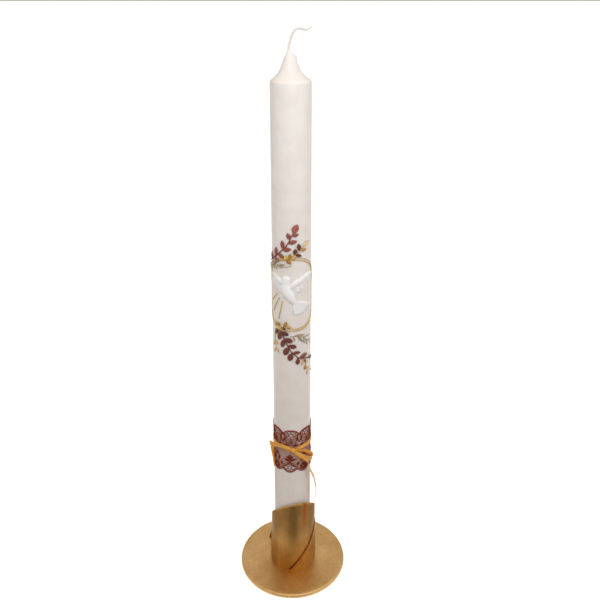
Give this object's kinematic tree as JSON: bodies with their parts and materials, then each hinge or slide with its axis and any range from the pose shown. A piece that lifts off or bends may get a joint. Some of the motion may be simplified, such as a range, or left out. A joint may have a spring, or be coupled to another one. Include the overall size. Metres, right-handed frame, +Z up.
{
  "type": "altar candlestick",
  "caption": "Low brass altar candlestick: round plate, slant-cut wrapped sleeve and pricket, holding a tall wax candle with dove relief, lace band and ribbon bow.",
  "frame": {"origin": "centre of the underside of the felt pad, on the surface that the candlestick stands on", "axes": "+Z up along the candle; -Y is the decorated front; +X is to the right of someone who looks at the front"},
  "size_m": [0.09, 0.09, 0.4533],
  "materials": {
    "felt": "matte",
    "plate_brass": "brushed",
    "sleeve_brass": "brushed",
    "solder": "satin",
    "wax": "satin",
    "white_wax": "satin",
    "gold_wax": "metallic satin",
    "burgundy_wax": "satin",
    "taupe_wax": "satin",
    "wick": "matte",
    "lace": "matte",
    "ribbon": "satin"
  },
  "bodies": {
    "holder": {"felt_pad": "felt", "base_plate": "plate_brass", "sleeve_tube": "sleeve_brass", "sleeve_wrap": "sleeve_brass", "solder_tacks": "solder", "pricket_spike": "sleeve_brass", "rivet_washer": "solder"},
    "candle": {"candle_wax": "wax", "wick": "wick", "ring_strand_outer": "gold_wax", "ring_strand_inner": "gold_wax", "ray_upper": "gold_wax", "ray_middle": "gold_wax", "ray_lower": "gold_wax", "dove": "white_wax", "burgundy_sprig_top": "burgundy_wax", "gold_sprig_top": "gold_wax", "taupe_sprig_top": "taupe_wax", "gold_sprig_centre": "gold_wax", "burgundy_sprig_lower": "burgundy_wax", "gold_sprig_left": "gold_wax", "gold_sprig_right": "gold_wax", "taupe_sprig_lower": "taupe_wax", "lace_band": "lace", "ribbon_band": "ribbon", "bow_knot": "ribbon", "bow_loop_left": "ribbon", "bow_loop_right": "ribbon", "ribbon_tail_left": "ribbon", "ribbon_tail_right": "ribbon"}
  },
  "joints": [
    {"name": "candle_lift", "type": "slide", "parent": "holder", "child": "candle", "axis": [0, 0, 1], "range_m": [0, 0.08]}
  ]
}
